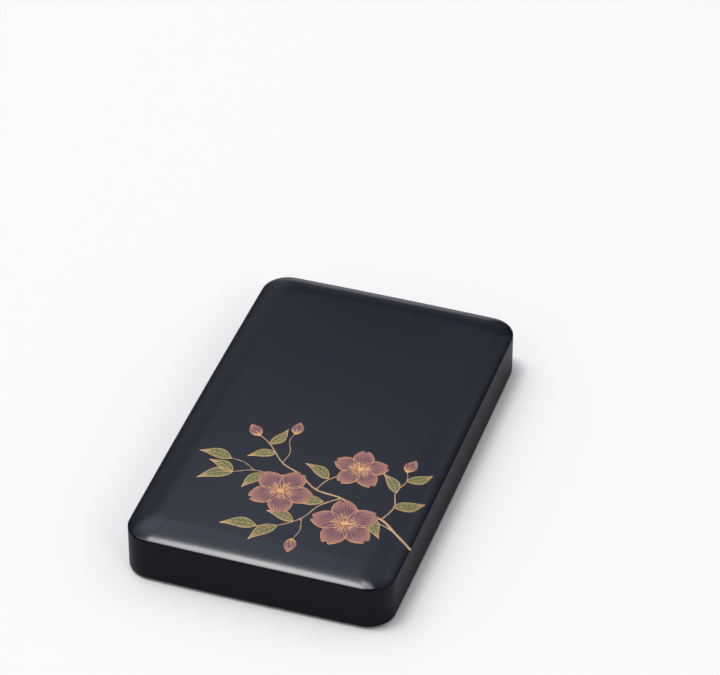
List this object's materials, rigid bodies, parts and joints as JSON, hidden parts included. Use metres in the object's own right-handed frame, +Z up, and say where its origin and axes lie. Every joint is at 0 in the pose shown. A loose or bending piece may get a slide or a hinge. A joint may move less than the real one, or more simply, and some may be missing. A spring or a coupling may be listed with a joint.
{
  "type": "lacquered writing box",
  "caption": "Small black lacquer writing box: overhanging crowned lid, body, and a lift-out tray with inkstone, water dropper, ink stick and brushes.",
  "frame": {"origin": "bottom centre of the box, on the surface that it stands on", "axes": "+Z up; +Y from the front short side to the back; +X to the right"},
  "size_m": [0.13, 0.21, 0.028],
  "materials": {
    "outer_lacquer": "polished black lacquer with a gold and colour spray drawn on the lid",
    "inner_lacquer": "black lacquer, a little softer in gloss",
    "slate": "honed dark slate",
    "dropper_metal": "brushed, toned brass",
    "solid_ink": "pressed soot ink, satin",
    "horn": "polished dark horn",
    "bamboo": "waxed bamboo",
    "brush_hair": "straight goat and weasel hair"
  },
  "bodies": {
    "box": {"body_floor": "inner_lacquer", "body_sides": "inner_lacquer"},
    "tray": {"tray_floor": "inner_lacquer", "tray_rim": "inner_lacquer", "left_divider": "inner_lacquer", "right_divider": "inner_lacquer", "well_board": "inner_lacquer", "front_brush_rest": "inner_lacquer", "rear_brush_rest": "inner_lacquer"},
    "lid": {"lid_top": "outer_lacquer", "lid_sides": "outer_lacquer"},
    "inkstone": {"inkstone": "slate"},
    "water_dropper": {"dropper_pan": "dropper_metal", "dropper_top": "dropper_metal", "dropper_spout": "dropper_metal"},
    "ink_stick": {"ink_stick": "solid_ink"},
    "large_brush": {"large_brush_tail_cap": "horn", "large_brush_handle": "bamboo", "large_brush_ferrule": "horn", "large_brush_hair": "brush_hair"},
    "large_brush_cap": {"large_brush_cap": "bamboo"},
    "small_brush": {"small_brush_tail_cap": "horn", "small_brush_handle": "bamboo", "small_brush_ferrule": "horn", "small_brush_hair": "brush_hair"},
    "small_brush_cap": {"small_brush_cap": "bamboo"}
  },
  "joints": [
    {"name": "tray_lift", "type": "slide", "parent": "box", "child": "tray", "axis": [0, 0, 1], "range_m": [0, 0.04]},
    {"name": "lid_lift", "type": "slide", "parent": "tray", "child": "lid", "axis": [0, 0, 1], "range_m": [0, 0.08]},
    {"name": "inkstone_lift", "type": "slide", "parent": "tray", "child": "inkstone", "axis": [0, 0, 1], "range_m": [0, 0.0055]},
    {"name": "dropper_lift", "type": "slide", "parent": "tray", "child": "water_dropper", "axis": [0, 0, 1], "range_m": [0, 0.0052]},
    {"name": "ink_stick_lift", "type": "slide", "parent": "tray", "child": "ink_stick", "axis": [0, 0, 1], "range_m": [0, 0.008]},
    {"name": "large_brush_lift", "type": "slide", "parent": "tray", "child": "large_brush", "axis": [0, 0, 1], "range_m": [0, 0.007]},
    {"name": "large_cap_pull", "type": "slide", "parent": "large_brush", "child": "large_brush_cap", "axis": [0, -1, 0], "range_m": [0, 0.049]},
    {"name": "small_brush_lift", "type": "slide", "parent": "tray", "child": "small_brush", "axis": [0, 0, 1], "range_m": [0, 0.007]},
    {"name": "small_cap_pull", "type": "slide", "parent": "small_brush", "child": "small_brush_cap", "axis": [0, -1, 0], "range_m": [0, 0.049]}
  ]
}
